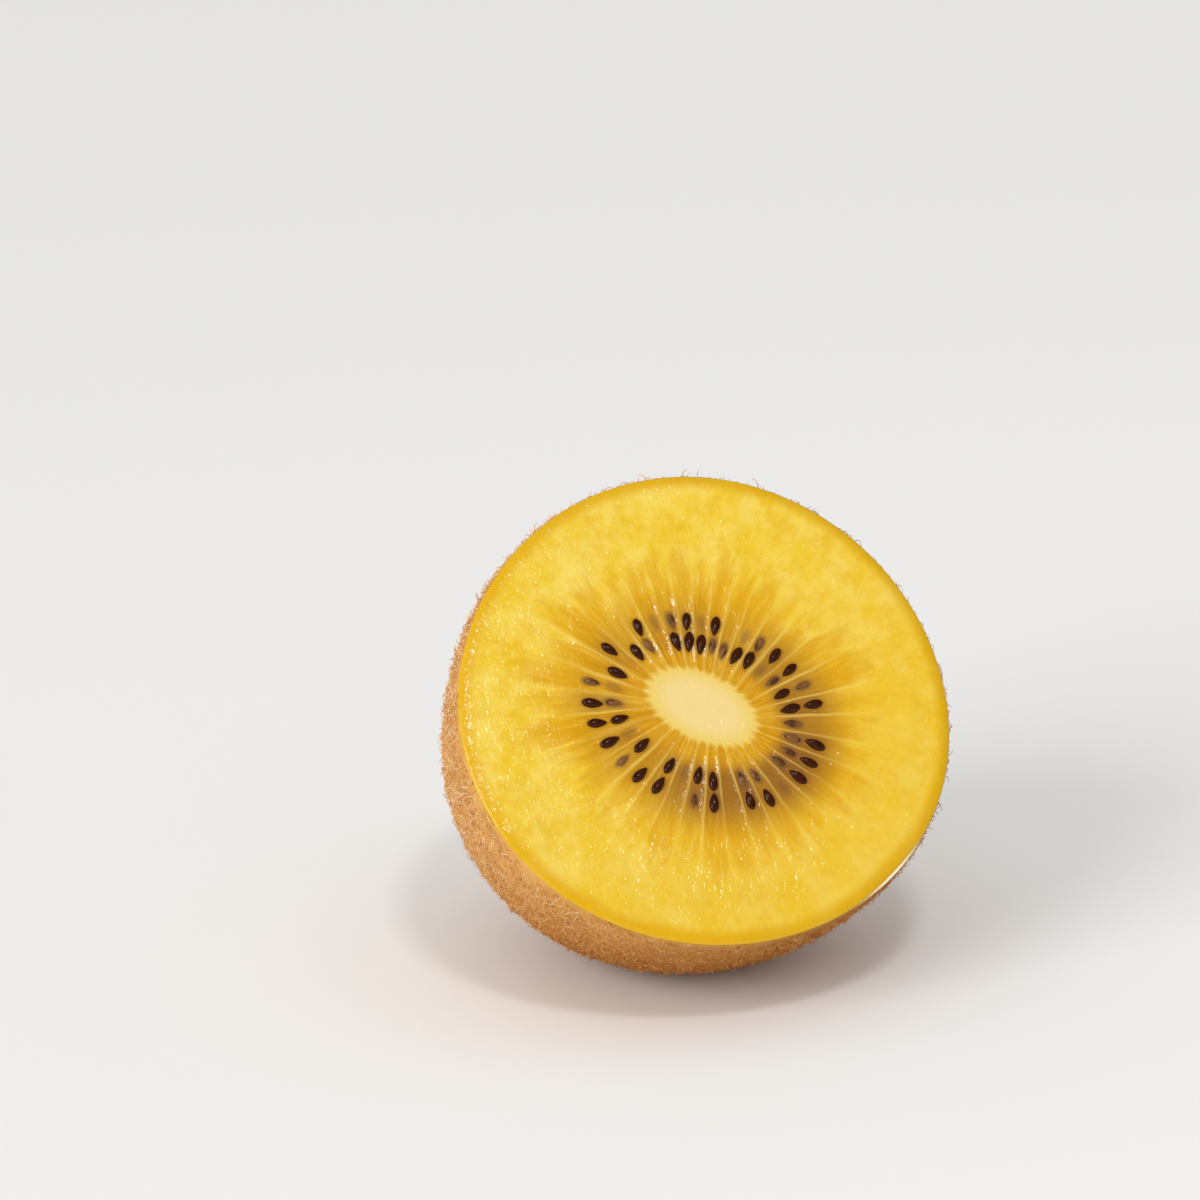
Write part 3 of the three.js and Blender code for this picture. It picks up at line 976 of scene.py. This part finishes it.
apart = split(where)
# painted light and shade: the peel's base runs from pale tan where light falls to brown in shade
painted_light = painted_light_side(line(both_ways(cloud(70, 2)), 0.03, apart[0]), apart[2])
brown = blend(painted_light, colour(166, 106, 34), colour(226, 170, 92))
brown = tint(brown, rise(cloud(330, 4, 0.6, 0.4), 0.45, 0.7), 0.5, colour(184, 124, 44))
brown = tint(brown, rise(cloud(1300, 3, 0.6, 0.9), 0.5, 0.7), 0.35, colour(232, 180, 104))
specks = add(tree, "ShaderNodeTexVoronoi", {"Vector": where, "Scale": 560.0})
dot = rise(specks.outputs["Distance"], 0.2, 0.08)
brown = tint(brown, dot, 0.65, colour(124, 72, 26))
brown = tint(brown, mark("collar"), 0.5, colour(180, 132, 86))
# painted highlight: the cut edge is pale like the flesh under it, and near-white where the peel stands up,
# which paints the highlight along that edge
brown = blend(mark("cut_edge_highlight"), brown, colour(255, 238, 196))

# %% The peel's relief
peel_height = line(cloud(1500, 4, 0.65, 1.7), 0.7, times(dot, 0.5))
dry_peel = {"Base Color": brown, "Normal": bump(peel_height, 0.7, 0.18 * MM)}
connect(tree, shader, dry_peel | {"Roughness": 0.7, "Specular IOR Level": 0.15})
peel.data.materials.append(peel_finish)
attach(peel, "root")
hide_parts("skin")

# %% [markdown]
# ## The hairs
# Short curled hairs cover the peel. They are about a millimetre long, lie nearly flat, and
# are lighter than the peel. Hair curves would be the usual way, but they would not survive
# in an exported model. So a node tree scatters points over the peel, stands a few-sided
# bent thread on each, and makes them all real. There are three batches, to keep each mesh light,
# and a fourth of longer hairs on the collar.

# %% The hair's material
hair_finish, tree, shader = new_finish("curled hair")
apart = split(add(tree, "ShaderNodeTexCoord").outputs["Object"])
# painted light and shade: the hairs are paler on the fruit's left and above and browner on its right and
# near the floor, added to each hair's own random tone
painted_light = times(painted_light_side(apart[0], apart[2]), 0.4)
shade = calc("ADD", times(mark("shade"), 0.6), painted_light)
tan = blend(rise(shade, 0.0, 0.55), colour(180, 102, 36), colour(232, 170, 94))
tan = blend(rise(shade, 0.5, 1.0), tan, colour(255, 226, 176))
connect(tree, shader, {"Base Color": tan, "Roughness": 0.6, "Specular IOR Level": 0.15})

# %% One bent hair
HAIR_RINGS, HAIR_SIDES, HAIR_RADIUS = 4, 3, 0.056  # the radius at its root is a share of its length
HAIR_BENDS = ((1.4, 2.6, 0.25), (1.1, 2.0, -0.35), (1.5, 3.0, 0.15), (1.45, 1.5, 0.3))


def bent_thread(start, curl, swing):
    """One hair from the origin, one unit long. It leaves at the start angle and curls back down."""
    straight = add(tree, "GeometryNodeCurvePrimitiveLine", {"End": (0.0, 0.0, 1.0)})
    stepped = add(tree, "GeometryNodeResampleCurve", {"Curve": straight.outputs[0], "Count": HAIR_RINGS})
    along = add(tree, "GeometryNodeSplineParameter").outputs["Factor"]
    angle = line(along, -curl, start)
    ahead = calc("SUBTRACT", math.sin(start), calc("SINE", angle))
    ahead = calc("DIVIDE", ahead, curl)
    height = calc("SUBTRACT", calc("COSINE", angle), math.cos(start))
    height = calc("DIVIDE", height, curl)
    aside = times(calc("POWER", along, 2.0), swing)
    bent = put(stepped, join(ahead, aside, height))
    ring = add(tree, "GeometryNodeCurvePrimitiveCircle", {"Resolution": HAIR_SIDES, "Radius": HAIR_RADIUS})
    inputs = {"Curve": bent, "Profile Curve": ring.outputs[0], "Fill Caps": True}
    inputs["Scale"] = line(along, -0.5, 1.0)
    return add(tree, "GeometryNodeCurveToMesh", inputs).outputs[0]


# %% Where the hairs stand
hair_sizes = {"Density": 3.0e6, "Length": 1.0 * MM, "Seed": 1, "Collar": 0.0}
tree, given, hair_sockets = new_tree("curled hairs", hair_sizes)
wanted = times(named("fuzz"), given["Density"])
only_collar = times(named("collar"), given["Collar"])
everywhere = calc("SUBTRACT", 1.0, given["Collar"])
wanted = times(wanted, calc("ADD", only_collar, everywhere))
root_inputs = {"Mesh": given[0], "Density": wanted, "Seed": given["Seed"]}
roots = add(tree, "GeometryNodeDistributePointsOnFaces", root_inputs, distribute_method="RANDOM")
shapes = add(tree, "GeometryNodeGeometryToInstance")
for start, curl, swing in HAIR_BENDS:
    tree.links.new(bent_thread(start, curl, swing), shapes.inputs[0])


# %% How each hair leans and how long it is
def chance(seed, low, high):
    """A random number for each point, a whole one where the limits are whole."""
    kind, first, output = ("INT", 4, 2) if isinstance(low, int) else ("FLOAT", 2, 1)
    inputs = {first: low, first + 1: high, "Seed": seed}
    return add(tree, "FunctionNodeRandomValue", inputs, data_type=kind).outputs[output]


HAIR_TILT, HAIR_SIZES = 0.6, (0.6, 1.3)
tilt, heading = chance(11, -HAIR_TILT, HAIR_TILT), chance(12, -math.pi, math.pi)
hair_turn = turned_by(roots.outputs["Rotation"], rotation(x=tilt, z=heading))
pressed = line(rise(position()[2], 0.006, 0.026), 0.2, 0.8)
hair_size = times(chance(13, *HAIR_SIZES), given["Length"], pressed)
hair_inputs = {
    "Points": roots.outputs[0],
    "Instance": shapes.outputs[0],
    "Pick Instance": True,
    "Instance Index": chance(14, 0, len(HAIR_BENDS) - 1),
    "Rotation": hair_turn,
    "Scale": hair_size,
}
standing = add(tree, "GeometryNodeInstanceOnPoints", hair_inputs)

# %% Each hair's shade, and none below the floor
LOWEST_HAIR = 0.02 * MM
shade_inputs = {"Geometry": standing.outputs[0], "Name": "shade", "Value": chance(15, 0.0, 1.0)}
shade_kinds = {"data_type": "FLOAT", "domain": "INSTANCE"}
tinted = add(tree, "GeometryNodeStoreNamedAttribute", shade_inputs, **shade_kinds)
real = add(tree, "GeometryNodeRealizeInstances", {0: tinted.outputs[0]})
x, y, z = position()
lifted = put(real, join(x, y, calc("MAXIMUM", z, LOWEST_HAIR)))
finish_tree(lifted, hair_finish)

# %% Three batches of hairs, and longer ones on the collar
HAIR_BATCHES = {  # hairs per square metre, length, seed, and 1 for the collar alone
    "fuzz_first": (1.75e6, 1.0 * MM, 1, 0.0),
    "fuzz_second": (1.75e6, 0.85 * MM, 2, 0.0),
    "fuzz_third": (1.75e6, 0.7 * MM, 3, 0.0),
    "collar_hairs": (24e6, 1.1 * MM, 4, 1.0),
}
for name, sizes in HAIR_BATCHES.items():
    hairs = bpy.data.objects.new(name, peel.data.copy())
    bpy.context.scene.collection.objects.link(hairs)
    grow(hairs, tree, dict(zip(hair_sockets.values(), sizes)))
    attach(hairs, "root")
    print(name, "triangles:", sum(len(face.vertices) - 2 for face in hairs.data.polygons))

# %% [markdown]
# ## The scar of the stalk
# Where the stalk broke off, a dry woody disc sits in the pit. It is worn at the rim, hollow
# towards the middle, and has a small pale peg. A turned disc with a bump pattern would look stamped, so
# its rings of points are raised by noise drawn out from the middle, like torn fibres.

# %% The scar's shape
SCAR_RADIUS = PIT_RADIUS - 0.5 * MM
SCAR_COLUMNS, SCAR_RINGS = 150, 43
SCAR_FACE = LENGTH - 0.1 * MM  # how far its face and its underside are from the cut
SCAR_UNDERSIDE = LENGTH - PIT_DEPTH + 0.25 * MM
SCAR_PROFILE = (  # (share of the radius, mm below the face)
    (0, 0.35), (0.12, 0.25), (0.16, 0.95), (0.34, 0.85), (0.44, 0.2),
    (0.6, 0.25), (0.8, -0.05), (0.94, 0.12), (1, 0.7),
)


def make_scar():
    turn = np.arange(SCAR_COLUMNS) / SCAR_COLUMNS * math.tau
    levels, marks = [], []
    for share in np.linspace(0, 1, SCAR_RINGS + 1)[1:]:
        depth = np.interp(share, *zip(*SCAR_PROFILE)) * MM
        right, up = around(SCAR_RADIUS * share, turn)
        torn_at = np.stack([np.cos(turn) * 3.5, np.sin(turn) * 3.5, share * 2.5 + 0 * turn], -1)
        torn = 0.28 * MM * rough(torn_at, 1, 8)
        fine = lumpy(np.stack([right, up, 0 * right], -1), (0.07, 0.35, 9))
        levels.append(place(right, up, depth - SCAR_FACE - (torn + fine) * min(1, share * 3)))
        marks.append(np.stack([np.cos(turn), np.sin(turn), share + 0 * turn], -1))
    levels.append(place(right * 0.97, up * 0.97, -SCAR_UNDERSIDE))
    marks.append(marks[-1])
    top = place(0.0, 0.0, SCAR_PROFILE[0][1] * MM - SCAR_FACE)
    scar = closed_rings("stalk_scar", top, levels, place(0.0, 0.0, -SCAR_UNDERSIDE))
    scar.data.flip_normals()
    give(scar.data, "rays", np.concatenate([[(0, 0, 0)], *marks, [(0, 0, 1)]]))
    return scar


scar = make_scar()
print("scar faces:", len(scar.data.polygons))

# %% The scar's finish
scar_finish, tree, shader = new_finish("dry woody scar")
where = add(tree, "ShaderNodeTexCoord").outputs["Object"]
rays = mark("rays", "Vector")
share = split(rays)[2]
drawn_out = vector_calc("MULTIPLY", rays, (5.0, 5.0, 2.0))[0]
grain = soft_noise(drawn_out, 1.6, 4.0)
wood = blend(rise(grain, 0.35, 0.65), colour(96, 68, 44), colour(168, 132, 98))
wood = tint(wood, rise(cloud(900, 3), 0.5, 0.7), 0.6, colour(70, 44, 26))
wood = blend(rise(share, 0.5, 0.36), wood, colour(160, 120, 44))
wood = blend(rise(share, 0.17, 0.1), wood, colour(226, 196, 142))
wood = blend(rise(share, 0.86, 1.0), wood, colour(52, 32, 20))
scar_bump = bump(calc("ADD", grain, cloud(2600, 3)), 0.6, 0.1 * MM)
connect(tree, shader, {"Base Color": wood, "Normal": scar_bump, "Roughness": 0.85})
scar.data.materials.append(scar_finish)
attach(scar, "root")
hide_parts("stem_scar")
